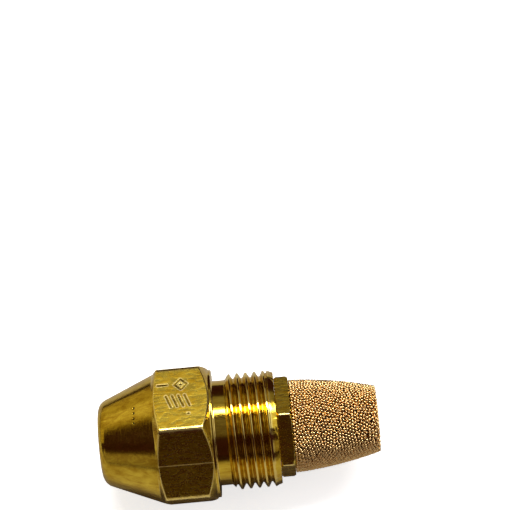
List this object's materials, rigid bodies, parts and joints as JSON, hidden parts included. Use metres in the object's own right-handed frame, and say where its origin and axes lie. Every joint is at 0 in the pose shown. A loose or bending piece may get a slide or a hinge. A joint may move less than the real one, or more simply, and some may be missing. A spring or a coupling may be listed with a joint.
{
  "type": "oil burner nozzle",
  "caption": "Hexagonal brass oil atomising nozzle with a conical nose, a threaded shank and a screw-in tapered sintered bronze filter.",
  "frame": {"origin": "on the thread axis, half way along the overall length, at the centre of the bounding box", "axes": "+X along the nozzle's axis from the nose to the filter, +Z out of the upper wrench flat"},
  "size_m": [0.034, 0.0182, 0.0158],
  "materials": {
    "brass_body": "polished",
    "stainless_disc": "satin",
    "stainless_distributor": "satin",
    "brass_retainer": "satin",
    "brass_adapter": "satin",
    "sintered_bronze": "matte"
  },
  "bodies": {
    "nozzle": {"nozzle_body": "brass_body", "orifice_disc": "stainless_disc", "distributor": "stainless_distributor", "retainer": "brass_retainer"},
    "filter_element": {"sintered_filter": "sintered_bronze"},
    "adapter": {"filter_adapter": "brass_adapter"}
  },
  "joints": [
    {"name": "filter_slide", "type": "slide", "parent": "nozzle", "child": "filter_element", "axis": [1, 0, 0], "range_m": [0, 0.00423]},
    {"name": "filter_turn", "type": "hinge", "parent": "filter_element", "child": "adapter", "pos_m": [0.0055, 0, 0], "axis": [1, 0, 0], "range_deg": [0, 1440]}
  ],
  "couplings": [
    {"joint": "filter_turn", "follows": "filter_slide", "rad_per_m": 5936.9}
  ]
}
